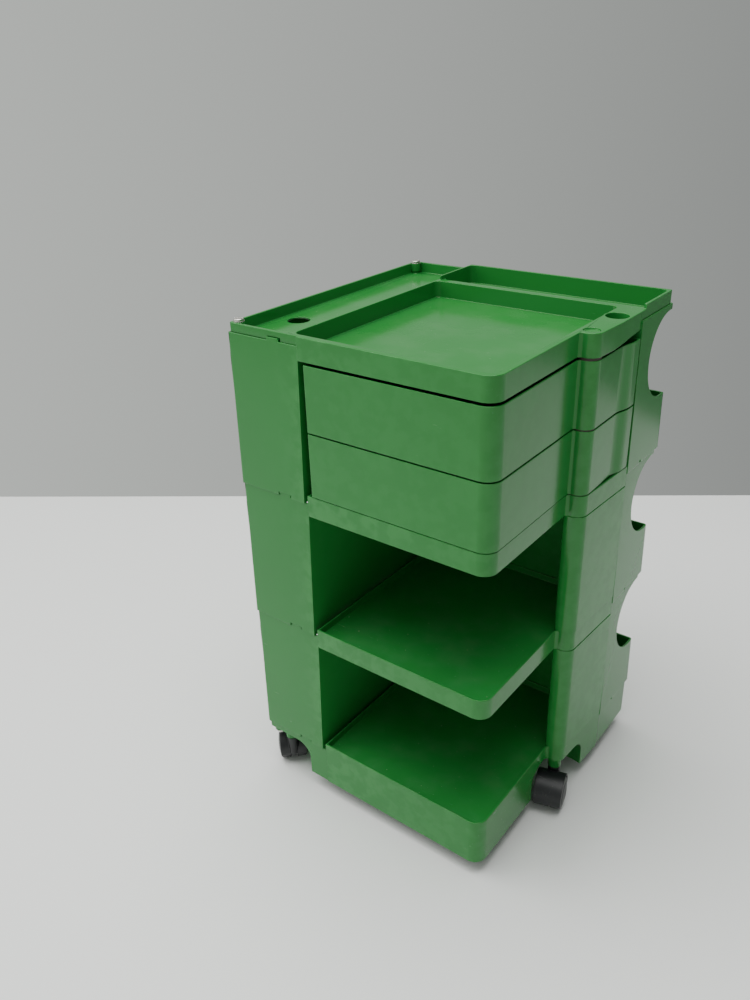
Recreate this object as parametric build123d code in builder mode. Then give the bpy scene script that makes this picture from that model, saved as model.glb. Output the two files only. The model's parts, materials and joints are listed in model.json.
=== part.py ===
"""Stacked storage trolley on swivel casters, with a top tray and two drawers that swing out on one rod.

Frame: origin on the floor under the middle of the trolley, X to the right, Y to the back, Z up.
Lengths are millimetres. Every storey is one moulding: a shelf at its top and the walls that hang below it.
"""

import os
from math import acos, atan2, cos, sin, sqrt

from build123d import *

# --- overall sizes ---------------------------------------------------------------------------------
body_width = 420.0  # over the widest walls, without the casters
body_depth = 422.0  # front panels to the backs of the rear pockets
storey = 210.0  # height of one storey, seam to seam
skirt_foot = 24.0  # height of the base skirt's lower edge
wall = 3.0  # moulded wall thickness

# --- plan -------------------------------------------------------------------------------------------
column_width = 119.0  # left column, which holds the open niche
bay_depth = 311.5  # from the front face to the wall behind the drawers and shelves
front_inset = 29.0  # how far the bay's right face stands inside the full width
corner_radius = 20.0  # plan radius of the bay's front right corner
edge_radius = 4.0  # plan radius of the other upright corners
pivot_inset = 22.0  # pivot rod, from the right face
pivot_from_front = 205.0  # pivot rod, from the front face
boss_radius = 16.0  # round boss about the pivot rod
groove_radius = 4.0  # hollow corner between the bay's right face and that boss
draft = 2.0  # how far a wall's foot stands outside its head
column_draft = 5.0  # how far the column's bay side leans away from the bay, top to bottom
back_lean = 7.0  # how far the back leans out, top to bottom of a storey
tray_inset = 4.0  # top tray's edge, inside the widest walls
band_inset = 0.8  # shelf bands, inside the bay's outline

# --- shelf and rims ---------------------------------------------------------------------------------
rim_rise = 12.0  # rim above its seam
band_height = 30.0  # rim and band together
floor_rise = 2.0  # shelf surface above its seam
window_rail = 30.0  # rails left above and below the niche's side window
post_width = 45.0  # posts beside the niche's side window
window_corner = 12.0

# --- rear pockets -----------------------------------------------------------------------------------
bite_radius = 59.0  # round opening above each pocket
bite_drop = 67.0  # its centre below the upper seam
bite_inset = 15.5  # its centre, in from the back
lip_rise = 84.0  # top of the pocket's back above the lower seam

# --- seam details -----------------------------------------------------------------------------------
tab_width, tab_height, tab_gap = 19.0, 4.0, 2.5
tab_from_left = 69.0
hook_size = 4.0  # small square notch in the right side at each seam
hook_from_bay = 41.0

# --- top tray ---------------------------------------------------------------------------------------
strip_depth = 15.0  # left strip's floor below the rim
recess_depth = 23.0  # main recess's floor below the rim
rear_rise = 6.0  # rear tray's rim above the main rim
rear_depth = 26.0  # rear tray's floor below its rim
ridge = 6.0  # ridges between the recesses
recess_radius = 9.0
strip_hole_radius = 15.0
strip_hole_from_left, strip_hole_from_front = 37.0, 97.0
socket_radius, socket_depth = 14.5, 22.0  # accessory socket in the land
socket_behind_pivot = 72.0
cap_radius, cap_thickness, cap_sink = 10.0, 3.5, 1.0
pan_wall = 2.5
pan_lip = 1.0  # rim left between a pan and the tray's edge wall
recess_margin = 11.0  # main recess, behind the front face
recess_side_margin = 9.0  # and inside the bay's right face
recess_past_column, recess_past_bay = 12.5, 6.5  # and past the bay's left side and rear wall
divider_past_column = 9.0  # rear tray's inside, past the bay's left side
skirt_wedge = 7.0  # how far the tray's right skirt is cut away at its rear end
wedge_behind_pivot = 30.0

# --- drawers ----------------------------------------------------------------------------------------
drawer_gap_low, drawer_gap_mid, drawer_gap_top = 1.0, 2.0, 3.5
drawer_side_gap = 8.0  # left side, at the column's widest
drawer_back_gap = 3.5
drawer_face_inset = 0.5  # drawer fronts, behind the front face
drawer_wall = 2.5
swing_gap = 2.0  # between the rounded rear corner's sweep and the column
flare_start, flare_length = 58.0, 32.0  # where the drawer's side turns outwards, behind the pivot
side_flat = 15.0  # drawer's side behind the boss, out from the pivot
tail_inset = 1.0  # flared tail, inside the full width

# --- rods and their fixings ---------------------------------------------------------------------------
rod_radius = 5.0
tie_radius = 3.0
rod_show, tie_show = 2.5, 2.0  # ends that stand out of their nuts
tie_boss_radius = 8.5
tray_tie_boss_radius, pan_tie_boss_radius = 7.5, 6.5  # in the tray, above its seam and below
shaft_fit = 0.05  # radial clearance of a turning fit
hole_fit = 0.3  # radial clearance of a through hole
rod_nut_size, tie_nut_size = 16.0, 10.0  # across the flats
rod_nut_height, tie_nut_height = 8.0, 5.0
rod_seat_rise = 10.0  # upper washer, above the tray skirt's foot
washer_height, tie_washer_height = 1.5, 0.8
tie_head_radius, tie_head_height = 6.5, 3.0
tie_slot_width, tie_slot_depth, tie_slot_turn = 1.4, 1.2, 35.0
edge_chamfer = 0.8
seat_gap = 0.5  # left between one piece and the pocket it drops into

# --- casters ------------------------------------------------------------------------------------------
wheel_radius = 25.0
wheel_width = 16.0
wheel_crown = 3.0  # dome of a wheel's outer side
web_width = 8.0  # hood's middle web
running_gap = 1.0
hood_gap, hood_wall = 1.5, 2.5
trail = 22.0
axle_radius = 3.0
stem_radius, stem_length = 5.0, 24.0
sleeve_wall = 2.0
collar_wall, collar_rise = 4.0, 2.5  # collar about the stem, and its top above the hood
stem_grip = 10.0  # stem inside the collar
stem_inset = 31.0  # left casters' stems, in from the left face
wheel_cap = 1.5  # closed outer end of a wheel's bore
wheel_round = 3.0
well_clearance = 1.5  # between a caster's sweep and the well it swings in
well_cover = 11.0  # moulding over a wheel well, up to the lowest seam
well_shoulder = 24.0
tie_foot_depth = 20.0

# --- derived places -----------------------------------------------------------------------------------
left, right = -body_width / 2, body_width / 2
front, back = -body_depth / 2, body_depth / 2
column_x = left + column_width
bay_right = right - front_inset
bay_back = front + bay_depth
pivot_x, pivot_y = right - pivot_inset, front + pivot_from_front
caster_head = wheel_radius * 2 + hood_gap + hood_wall + collar_rise
socket_boss_foot = caster_head + running_gap
base_seam = socket_boss_foot + stem_length + rod_show + wall  # lowest seam, over the casters' stems
well_height = base_seam - well_cover
seams = [base_seam + storey * level for level in range(4)]
rim_top = seams[3] + rim_rise
tray_top = rim_top + rear_rise
band_foot = seams[3] + rim_rise - band_height
tie_inset = draft + wall + seat_gap + pan_tie_boss_radius  # tie rods, in from the outer faces
tie_x = left + tie_inset
tie_places = [(tie_x, front + tie_inset + draft), (tie_x, back - back_lean - tie_inset - wall)]
sleeve_radius = stem_radius + shaft_fit + sleeve_wall
socket_boss_radius = sleeve_radius + wall
hood_width = web_width + 2 * (running_gap + wheel_width)
caster_reach = trail + wheel_radius + hood_gap + hood_wall
well_radius = sqrt(caster_reach ** 2 + (hood_width / 2) ** 2) + well_clearance
recess_low = (column_x - recess_past_column, front + recess_margin)
recess_high = (bay_right - recess_side_margin, bay_back + recess_past_bay)
divider_x = column_x - divider_past_column
strip_floor = rim_top - strip_depth
recess_floor = rim_top - recess_depth
rear_floor = tray_top - rear_depth
tray_back = back - back_lean - tray_inset
tray_right = right - tray_inset
rear_start = recess_high[1] + ridge
pan_edge = wall + pan_lip
pan_room = pan_wall + seat_gap
# insides of the tray's three pans: strip, main recess and rear tray
pans = (
    ((left + tray_inset + pan_edge, front + tray_inset + pan_edge),
     (recess_low[0] - wall, tray_back - pan_edge), strip_floor),
    (recess_low, recess_high, recess_floor),
    ((divider_x, rear_start + ridge), (tray_right - pan_edge, tray_back - pan_edge), rear_floor),
)
rod_seat = band_foot + rod_seat_rise
rod_end = rod_seat + washer_height + rod_nut_height + rod_show
nut_pocket_foot = socket_boss_foot + stem_length + rod_show
nut_pocket_radius = rod_nut_size / sqrt(3) + hole_fit
tie_rod_foot = base_seam - tie_foot_depth - tie_washer_height - tie_nut_height - tie_show
socket_y = pivot_y + socket_behind_pivot
wedge_start = pivot_y + wedge_behind_pivot
drawer_room = band_foot - seams[2] - rim_rise
drawer_height = (drawer_room - drawer_gap_low - drawer_gap_mid - drawer_gap_top) / 2
spacer_play = 0.1
hood_foot = wheel_radius - 3.0
web_drop = 10.0

# place of each caster's stem, and the compass angle in which its wheels trail
casters = {
    "front_left": (left + stem_inset, front + 20.0, 135.0),
    "rear_left": (left + stem_inset, back - 57.0, 60.0),
    "right": (pivot_x, pivot_y, -75.0),
    "front_right": (bay_right - 64.0, front + 66.0, 200.0),
}

up = (Align.CENTER, Align.CENTER, Align.MIN)


# --- plan outlines ------------------------------------------------------------------------------------
def side_tangent() -> tuple[float, float]:
    """Point on the pivot boss where the straight side to the rear column leaves it."""
    reach_x, reach_y = right - pivot_x, bay_back - pivot_y
    turn = atan2(reach_y, reach_x) - acos(boss_radius / sqrt(reach_x**2 + reach_y**2))
    return pivot_x + boss_radius * cos(turn), pivot_y + boss_radius * sin(turn)


def side_line_x(y: float) -> float:
    """X of the straight side at the depth y."""
    touch_x, touch_y = side_tangent()
    return right - (bay_back - y) * (right - touch_x) / (bay_back - touch_y)


def bay_outline(inset: float, height: float, hand: float = column_x, rear: float = bay_back) -> Sketch:
    """Outline of the bay, set in by inset and cut off at hand and rear, where it meets the walls."""
    past = inset + 5.0
    hollow_y = pivot_y - sqrt(boss_radius**2 - (pivot_x - bay_right) ** 2)
    with BuildSketch(Plane.XY.offset(height)) as outline:
        with BuildLine():
            Polyline(
                (column_x - past, front), (bay_right, front), (bay_right, pivot_y), (pivot_x, pivot_y),
                side_tangent(), (side_line_x(bay_back + past), bay_back + past),
                (column_x - past, bay_back + past), close=True,
            )
        make_face()
        with Locations((pivot_x, pivot_y)):
            Circle(boss_radius)
        fillet(outline.vertices().sort_by_distance((bay_right, front, height))[0], corner_radius)
        fillet(outline.vertices().sort_by_distance((bay_right, hollow_y, height))[0], groove_radius)
        if inset > 0:
            offset(amount=-inset, kind=Kind.INTERSECTION, mode=Mode.REPLACE)
        with Locations((hand, rear)):
            Rectangle(body_width, body_depth, align=(Align.MIN, Align.MAX), mode=Mode.INTERSECT)
    return outline.sketch


def panel_outline(height: float, rear: float) -> Sketch:
    """Outline of a snap-in side panel: the front boss about the rod and the straight wall behind it."""
    touch_x, touch_y = side_tangent()
    with BuildSketch(Plane.XY.offset(height)) as outline:
        with BuildLine():
            Polyline(
                (touch_x, touch_y), (side_line_x(rear), rear), (side_line_x(rear) - wall, rear),
                (touch_x - wall, touch_y), close=True,
            )
        make_face()
        with Locations((pivot_x, pivot_y)):
            Circle(boss_radius)
        with Locations((bay_right, pivot_y)):
            Rectangle(
                pivot_x - bay_right, 2 * (boss_radius - groove_radius), align=(Align.MIN, Align.CENTER)
            )
    return outline.sketch


def drawer_outline(inset: float, height: float) -> Sketch:
    """Outline of a drawer: square front, round boss, side that flares out, rounded rear corner."""
    near = front + drawer_face_inset
    hand = column_x + drawer_side_gap
    far = bay_back - drawer_back_gap
    sweep = pivot_x - column_x - swing_gap
    swing_y = pivot_y + sqrt(sweep**2 - (pivot_x - hand) ** 2)
    swing_x = pivot_x - sqrt(sweep**2 - (far - pivot_y) ** 2)
    middle = (atan2(swing_y - pivot_y, hand - pivot_x) + atan2(far - pivot_y, swing_x - pivot_x)) / 2
    flat_x, tail_x = pivot_x + side_flat, right - tail_inset
    flare_y = pivot_y + flare_start
    bend = ((flat_x + tail_x) / 2, flare_y + flare_length / 2)
    hollow_y = pivot_y - sqrt(side_flat**2 - (pivot_x - bay_right) ** 2)
    with BuildSketch(Plane.XY.offset(height)) as outline:
        with BuildLine():
            Polyline(
                (flat_x, flare_y), (flat_x, pivot_y), (bay_right, pivot_y), (bay_right, near), (hand, near),
                (hand, swing_y),
            )
            ThreePointArc(
                (hand, swing_y),
                (pivot_x + sweep * cos(middle), pivot_y + sweep * sin(middle)),
                (swing_x, far),
            )
            Polyline((swing_x, far), (tail_x, far), (tail_x, flare_y + flare_length))
            TangentArc((tail_x, flare_y + flare_length), bend, tangent=(0, -1))
            TangentArc((flat_x, flare_y), bend, tangent=(0, 1))
        make_face()
        with Locations((pivot_x, pivot_y)):
            Circle(side_flat)
        fillet(outline.vertices().sort_by_distance((bay_right, near, height))[0], corner_radius)
        fillet(outline.vertices().sort_by_distance((bay_right, hollow_y, height))[0], groove_radius)
        fillet(outline.vertices().sort_by_distance((tail_x, far, height))[0], 2.0)
        fillet(outline.vertices().sort_by_distance((hand, near, height))[0], 2.0)
        if inset > 0:
            offset(amount=-inset, kind=Kind.INTERSECTION, mode=Mode.REPLACE)
    return outline.sketch


def wall_outline(inset: float, bay_lean: float, rear: float, height: float) -> Sketch:
    """Outline of the walls of a storey: the left column and the rear column in an L."""
    with BuildSketch(Plane.XY.offset(height)) as outline:
        with BuildLine():
            Polyline(
                (left + inset, front + inset), (column_x - bay_lean, front + inset),
                (column_x - bay_lean, bay_back), (right - inset, bay_back),
                (right - inset, rear), (left + inset, rear), close=True,
            )
        make_face()
    return outline.sketch


# --- pieces of a storey -----------------------------------------------------------------------------------
def storey_walls(foot: float) -> Part:
    """Walls of one storey between two seams, with the niche, the rear pocket and its round opening."""
    head = foot + storey
    top_back = back - back_lean
    with BuildPart() as walls:
        add(wall_outline(0, column_draft, back, foot))
        add(wall_outline(draft, 0, top_back, head))
        loft(ruled=True)
        upright = walls.edges().filter_by(lambda edge: edge.bounding_box().size.Z > storey - 1)
        outer = upright.filter_by(
            lambda edge: edge.center().X < left + 5 or (edge.center().Y > bay_back + 50)
        )
        fillet(outer, edge_radius)

        # niche in the left column, open above and below
        with BuildSketch(Plane.XY.offset(foot)):
            with BuildLine():
                Polyline(
                    (left + wall, front + wall), (column_x - column_draft - wall, front + wall),
                    (column_x - column_draft - wall, back - wall), (left + wall, back - wall), close=True,
                )
            make_face()
        with BuildSketch(Plane.XY.offset(head)):
            with BuildLine():
                Polyline(
                    (left + draft + wall, front + draft + wall), (column_x - wall, front + draft + wall),
                    (column_x - wall, top_back - wall), (left + draft + wall, top_back - wall), close=True,
                )
            make_face()
        loft(ruled=True, mode=Mode.SUBTRACT)

        # pocket behind the bay, open above
        floor_share = wall / storey
        with BuildSketch(Plane.XY.offset(foot + wall)):
            with BuildLine():
                Polyline(
                    (column_x, bay_back + wall), (right - wall - draft * floor_share, bay_back + wall),
                    (right - wall - draft * floor_share, back - wall - back_lean * floor_share),
                    (column_x, back - wall - back_lean * floor_share), close=True,
                )
            make_face()
        with BuildSketch(Plane.XY.offset(head)):
            with BuildLine():
                Polyline(
                    (column_x, bay_back + wall), (right - wall - draft, bay_back + wall),
                    (right - wall - draft, top_back - wall), (column_x, top_back - wall), close=True,
                )
            make_face()
        loft(ruled=True, mode=Mode.SUBTRACT)

        # round opening above the pocket, through the side wall and the back
        with BuildSketch(Plane.YZ.offset(column_x)) as bite:
            with Locations((back - bite_inset, head - bite_drop)):
                Circle(bite_radius)
            with Locations((back - bite_inset, head - bite_drop)):
                Rectangle(2 * bite_radius, 2 * bite_radius, align=(Align.MIN, Align.CENTER))
            with Locations((back - bite_inset, foot + lip_rise)):
                Rectangle(
                    2 * bite_radius, storey - lip_rise - bite_drop, align=(Align.MIN, Align.MIN)
                )
        extrude(amount=body_width, mode=Mode.SUBTRACT)

        # side window of the niche
        with BuildSketch(Plane.YZ.offset(left - 1)) as window:
            with Locations((((front + post_width) + (top_back - post_width)) / 2, foot + storey / 2)):
                RectangleRounded(top_back - front - 2 * post_width, storey - 2 * window_rail, window_corner)
        extrude(amount=2 * wall + draft, mode=Mode.SUBTRACT)

        # corner bosses for the tie rods
        with BuildSketch(Plane.XY.offset(foot)) as ties:
            with Locations(*tie_places):
                Circle(tie_boss_radius)
            corner_x = left + draft + seat_gap
            for _, tie_y in tie_places:
                corner_y = front + draft + seat_gap if tie_y < 0 else top_back - seat_gap
                with Locations(((corner_x + tie_x) / 2, (corner_y + tie_y) / 2)):
                    Rectangle(tie_x - corner_x, abs(corner_y - tie_y))
        extrude(amount=storey)
        with BuildSketch(Plane.XY.offset(foot)) as tie_holes:
            with Locations(*tie_places):
                Circle(tie_radius + hole_fit)
        extrude(amount=storey, mode=Mode.SUBTRACT)

        # front notch over the tab of the piece below, and its gap
        tab_x = left + tab_from_left
        with Locations((tab_x, front - 1, foot)):
            Box(tab_width + tab_gap, 2 * wall, tab_height + seat_gap, align=Align.MIN, mode=Mode.SUBTRACT)
        # small notch at the foot of the right wall
        with Locations((right + 1, bay_back + hook_from_bay, foot)):
            Box(wall + 3, hook_size, hook_size, align=(Align.MAX, Align.MIN, Align.MIN), mode=Mode.SUBTRACT)
    return walls.part


def seam_tab(seam: float) -> Part:
    """Locating tab that stands on a storey's head, in the notch of the piece above."""
    tab_x = left + tab_from_left
    with BuildPart() as tab:
        with Locations((tab_x, front + draft, seam - wall)):
            Box(tab_width, wall, tab_height + wall, align=Align.MIN)
    return tab.part


def shelf_top(seam: float) -> Part:
    """Shelf with its band and rim, and the boss in which the rod stands."""
    foot = seam + rim_rise - band_height
    inside = dict(hand=column_x + wall, rear=bay_back - wall)
    with BuildPart() as shelf:
        add(bay_outline(band_inset, foot))
        extrude(amount=band_height)
        add(bay_outline(band_inset + wall, seam + floor_rise, **inside))
        extrude(amount=band_height, mode=Mode.SUBTRACT)
        add(bay_outline(band_inset + wall, foot, **inside))
        extrude(amount=band_height - rim_rise + floor_rise - wall, mode=Mode.SUBTRACT)
        with Locations((pivot_x, pivot_y, foot)):
            Cylinder(boss_radius - band_inset, band_height, align=up)
            Cylinder(rod_radius + hole_fit, band_height, align=up, mode=Mode.SUBTRACT)
    return shelf.part


def wheel_well(swell: float, place: tuple[float, float]) -> Part:
    """Domed space a caster swings in, grown by swell to leave the moulded wall about it."""
    radius, height = well_radius + swell, well_height + swell
    shoulder = well_shoulder + swell
    with BuildPart() as well:
        with BuildSketch(Plane.XZ) as section:
            with BuildLine():
                Polyline((0, -1), (radius, -1), (radius, height - shoulder))
                RadiusArc((radius, height - shoulder), (radius - shoulder, height), -shoulder)
                Polyline((radius - shoulder, height), (0, height), (0, -1))
            make_face()
        revolve(axis=Axis.Z)
    return well.part.moved(Location((place[0], place[1], 0)))


# --- mouldings of the stack ---------------------------------------------------------------------------
stems = [place[:2] for place in casters.values()]
open_wells = [casters[name][:2] for name in ("front_left", "rear_left", "right")]
pieces = {}

with BuildPart() as base_module:
    add(bay_outline(band_inset, skirt_foot))
    extrude(amount=base_seam + rim_rise - skirt_foot)
    add(wall_outline(draft, 0, back - back_lean, skirt_foot))
    extrude(amount=base_seam - skirt_foot)
    outer_edges = base_module.edges().filter_by(Axis.Z).filter_by(lambda edge: edge.center().X < left + 5)
    fillet(outer_edges, edge_radius)
    add(bay_outline(band_inset + wall, base_seam + floor_rise, column_x + wall, bay_back - wall))
    extrude(amount=band_height, mode=Mode.SUBTRACT)
    # hollow underside, which stops at the walls of the wheel wells
    with BuildPart(mode=Mode.PRIVATE) as underside:
        add(bay_outline(band_inset + wall, skirt_foot - 1))
        add(wall_outline(draft + wall, wall, back - back_lean - wall, skirt_foot - 1))
        extrude(amount=base_seam - wall - skirt_foot + 1)
        for place in open_wells:
            add(wheel_well(wall, place), mode=Mode.SUBTRACT)
    add(underside.part, mode=Mode.SUBTRACT)
    for place in open_wells:
        add(wheel_well(0, place), mode=Mode.SUBTRACT)
    # sockets for the caster stems, and the bosses that the rods pass through
    with BuildSketch(Plane.XY.offset(socket_boss_foot)) as sockets:
        with Locations(*stems):
            Circle(socket_boss_radius)
    extrude(amount=base_seam - socket_boss_foot)
    with BuildSketch(Plane.XY.offset(base_seam - tie_foot_depth)) as tie_bosses:
        with Locations(*tie_places):
            Circle(tie_boss_radius)
    extrude(amount=tie_foot_depth)
    with Locations((pivot_x, pivot_y, base_seam - wall)):
        Cylinder(boss_radius - band_inset, rim_rise + wall, align=up)
    with BuildSketch(Plane.XY.offset(socket_boss_foot - 1)) as stem_holes:
        with Locations(*stems):
            Circle(sleeve_radius + shaft_fit)
    extrude(amount=stem_length + 2, mode=Mode.SUBTRACT)
    with BuildSketch(Plane.XY.offset(base_seam - tie_foot_depth)) as tie_holes:
        with Locations(*tie_places):
            Circle(tie_radius + hole_fit)
    extrude(amount=tie_foot_depth, mode=Mode.SUBTRACT)
    with Locations((pivot_x, pivot_y, nut_pocket_foot)):
        Cylinder(nut_pocket_radius, rod_nut_height, align=up, mode=Mode.SUBTRACT)
        Cylinder(rod_radius + hole_fit, storey / 2, align=up, mode=Mode.SUBTRACT)
    add(seam_tab(base_seam))
pieces["base_module"] = base_module.part

for name, level in (("lower_module", 0), ("middle_module", 1)):
    with BuildPart() as module:
        add(storey_walls(seams[level]))
        add(shelf_top(seams[level + 1]))
        add(seam_tab(seams[level + 1]))
    pieces[name] = module.part

with BuildPart() as upper_frame:
    add(storey_walls(seams[2]))
    # room for the tray's pans, which hang inside the head of the frame
    with Locations((left + draft + wall, front + draft + wall, strip_floor - pan_wall - seat_gap)):
        Box(column_width - draft - 2 * wall, body_depth - back_lean - draft - 2 * wall, storey,
            align=Align.MIN, mode=Mode.SUBTRACT)
    for low, high, floor in pans[1:]:
        with Locations((low[0] - pan_room, low[1] - pan_room, floor - pan_room)):
            Box(high[0] - low[0] + 2 * pan_room, high[1] - low[1] + 2 * pan_room, storey,
                align=Align.MIN, mode=Mode.SUBTRACT)
    add(seam_tab(seams[3]))
pieces["upper_frame"] = upper_frame.part

with BuildPart() as top_tray:
    # rims and top skin
    add(bay_outline(band_inset, band_foot))
    extrude(amount=band_height)
    add(wall_outline(tray_inset, 0, tray_back, seams[3]))
    extrude(amount=rim_rise)
    with Locations((divider_x - wall, rear_start, seams[3])):
        Box(tray_right - divider_x + wall, tray_back - rear_start, rim_rise + rear_rise,
            align=Align.MIN)
    with Locations((tray_right, front, band_foot)):
        Box(body_width, body_depth, storey, align=Align.MIN, mode=Mode.SUBTRACT)
    outer_edges = top_tray.edges().filter_by(Axis.Z).filter_by(
        lambda edge: edge.center().X < left + 5 or edge.center().Y > tray_back - 0.1
    )
    fillet(outer_edges, edge_radius - 0.5)
    add(bay_outline(band_inset + wall, band_foot, column_x + wall, bay_back - wall))
    extrude(amount=band_height - wall, mode=Mode.SUBTRACT)
    add(wall_outline(tray_inset + wall, wall, tray_back - wall, seams[3]))
    extrude(amount=rim_rise - wall, mode=Mode.SUBTRACT)
    # pans of the three recesses, each hung from the skin
    for grow, mode in ((pan_wall, Mode.ADD), (0, Mode.SUBTRACT)):
        for low, high, floor in pans:
            across, along = high[0] - low[0] + 2 * grow, high[1] - low[1] + 2 * grow
            with BuildSketch(Plane.XY.offset(floor - grow)) as pan:
                with Locations(((low[0] + high[0]) / 2, (low[1] + high[1]) / 2)):
                    RectangleRounded(across, along, recess_radius + grow)
            extrude(amount=(rim_top if grow else tray_top + 1) - floor + grow, mode=mode)
    # open the rear tray's front and the divider down to the ridge
    with Locations((divider_x, recess_high[1] - 1, rim_top)):
        Box(tray_right - pan_edge - divider_x, 4 * ridge, storey, align=Align.MIN, mode=Mode.SUBTRACT)
    # bosses: pivot, accessory socket, tie rods
    with Locations((pivot_x, pivot_y, band_foot)):
        Cylinder(boss_radius - band_inset, band_height, align=up)
    with Locations((pivot_x, socket_y, rim_top - socket_depth - pan_wall)):
        Cylinder(socket_radius + pan_wall, socket_depth + pan_wall, align=up)
    pan_foot = strip_floor - pan_wall
    for foot, radius in ((seams[3], tray_tie_boss_radius), (pan_foot, pan_tie_boss_radius)):
        with BuildSketch(Plane.XY.offset(foot)) as tie_bosses:
            with Locations(*tie_places):
                Circle(radius)
        extrude(amount=rim_top - foot)
    with BuildSketch(Plane.XY.offset(pan_foot)) as tie_holes:
        with Locations(*tie_places):
            Circle(tie_radius + hole_fit)
        with Locations((left + strip_hole_from_left, front + strip_hole_from_front)):
            Circle(strip_hole_radius)
    extrude(amount=storey, mode=Mode.SUBTRACT)
    with Locations((pivot_x, socket_y, rim_top - socket_depth)):
        Cylinder(socket_radius, socket_depth, align=up, mode=Mode.SUBTRACT)
    with Locations((pivot_x, pivot_y, band_foot)):
        Cylinder(rod_radius + hole_fit, band_height, align=up, mode=Mode.SUBTRACT)
    with Locations((pivot_x, pivot_y, rod_seat)):
        Cylinder(cap_radius + hole_fit, band_height, align=up, mode=Mode.SUBTRACT)
    # the right skirt's lower edge rises towards the rear
    with BuildSketch(Plane.YZ.offset(pivot_x)) as wedge:
        with BuildLine():
            Polyline(
                (wedge_start, band_foot), (bay_back, band_foot), (bay_back, band_foot + skirt_wedge),
                close=True,
            )
        make_face()
    extrude(amount=storey, mode=Mode.SUBTRACT)
    # front notch over the frame's tab
    with Locations((left + tab_from_left, front - 1, seams[3])):
        Box(tab_width + tab_gap, tray_inset + wall + 1, tab_height + seat_gap,
            align=Align.MIN, mode=Mode.SUBTRACT)
pieces["top_tray"] = top_tray.part

# --- side panels ----------------------------------------------------------------------------------------
for name, level in (("side_panel_lower", 0), ("side_panel_middle", 1)):
    foot = seams[level] + rim_rise
    head = seams[level + 1] + rim_rise - band_height
    with BuildPart() as panel:
        add(panel_outline(foot, bay_back - 1))
        extrude(amount=head - foot)
        with Locations((pivot_x, pivot_y, foot)):
            Cylinder(rod_radius + hole_fit, head - foot, align=up, mode=Mode.SUBTRACT)
    pieces[name] = panel.part

# --- drawers --------------------------------------------------------------------------------------------
drawer_feet = {
    "drawer_lower": seams[2] + rim_rise + drawer_gap_low,
    "drawer_upper": seams[2] + rim_rise + drawer_gap_low + drawer_height + drawer_gap_mid,
}
for name, foot in drawer_feet.items():
    with BuildPart() as drawer:
        add(drawer_outline(0, foot))
        extrude(amount=drawer_height)
        with BuildSketch(Plane.XY.offset(foot + drawer_wall)) as cavity:
            add(drawer_outline(drawer_wall, foot + drawer_wall))
            with Locations((pivot_x, pivot_y)):
                Circle(side_flat - 1, mode=Mode.SUBTRACT)
        extrude(amount=drawer_height, mode=Mode.SUBTRACT)
        with Locations((pivot_x, pivot_y, foot)):
            Cylinder(rod_radius + shaft_fit, drawer_height, align=up, mode=Mode.SUBTRACT)
    pieces[name] = drawer.part

# --- rods and their fixings -------------------------------------------------------------------------------
with BuildPart() as pivot_rod:
    with Locations((pivot_x, pivot_y, nut_pocket_foot + seat_gap)):
        Cylinder(rod_radius, rod_end - nut_pocket_foot - seat_gap, align=up)
    chamfer(pivot_rod.edges(), edge_chamfer)
pieces["pivot_rod"] = pivot_rod.part

with BuildPart() as pivot_nuts:
    for foot in (nut_pocket_foot, rod_seat + washer_height):
        with BuildSketch(Plane.XY.offset(foot)) as nut:
            with Locations((pivot_x, pivot_y)):
                RegularPolygon(rod_nut_size / 2, 6, major_radius=False)
                Circle(rod_radius, mode=Mode.SUBTRACT)
        extrude(amount=rod_nut_height)
pieces["pivot_nuts"] = pivot_nuts.part

with BuildPart() as pivot_washer:
    with BuildSketch(Plane.XY.offset(rod_seat)) as ring:
        with Locations((pivot_x, pivot_y)):
            Circle(cap_radius - seat_gap)
            Circle(rod_radius + hole_fit, mode=Mode.SUBTRACT)
    extrude(amount=washer_height)
pieces["pivot_washer"] = pivot_washer.part

with BuildPart() as pivot_cap:
    with Locations((pivot_x, pivot_y, rim_top - cap_sink - cap_thickness)):
        Cylinder(cap_radius, cap_thickness, align=up)
    chamfer(pivot_cap.edges().group_by(Axis.Z)[-1], edge_chamfer)
pieces["pivot_cap"] = pivot_cap.part

with BuildPart() as pivot_spacers:
    for foot, gap in (
        (drawer_feet["drawer_lower"] - drawer_gap_low, drawer_gap_low),
        (drawer_feet["drawer_upper"] - drawer_gap_mid, drawer_gap_mid),
        (band_foot - drawer_gap_top, drawer_gap_top),
    ):
        with BuildSketch(Plane.XY.offset(foot + spacer_play)) as ring:
            with Locations((pivot_x, pivot_y)):
                Circle(side_flat - 2 * seat_gap)
                Circle(rod_radius, mode=Mode.SUBTRACT)
        extrude(amount=gap - 2 * spacer_play)
pieces["pivot_spacers"] = pivot_spacers.part

head_foot = rim_top + tie_washer_height
for name, (rod_x, rod_y) in zip(("tie_rod_front_left", "tie_rod_rear_left"), tie_places):
    with BuildPart() as tie_rod:
        with Locations((rod_x, rod_y, tie_rod_foot)):
            Cylinder(tie_radius, head_foot - tie_rod_foot, align=up)
        with Locations((rod_x, rod_y, head_foot)):
            Cylinder(tie_head_radius, tie_head_height, align=up)
        chamfer(tie_rod.edges().group_by(Axis.Z)[-1], edge_chamfer)
        with Locations((rod_x, rod_y, head_foot + tie_head_height)):
            Box(3 * tie_head_radius, tie_slot_width, 2 * tie_slot_depth, rotation=(0, 0, tie_slot_turn),
                mode=Mode.SUBTRACT)
    pieces[name] = tie_rod.part

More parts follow.
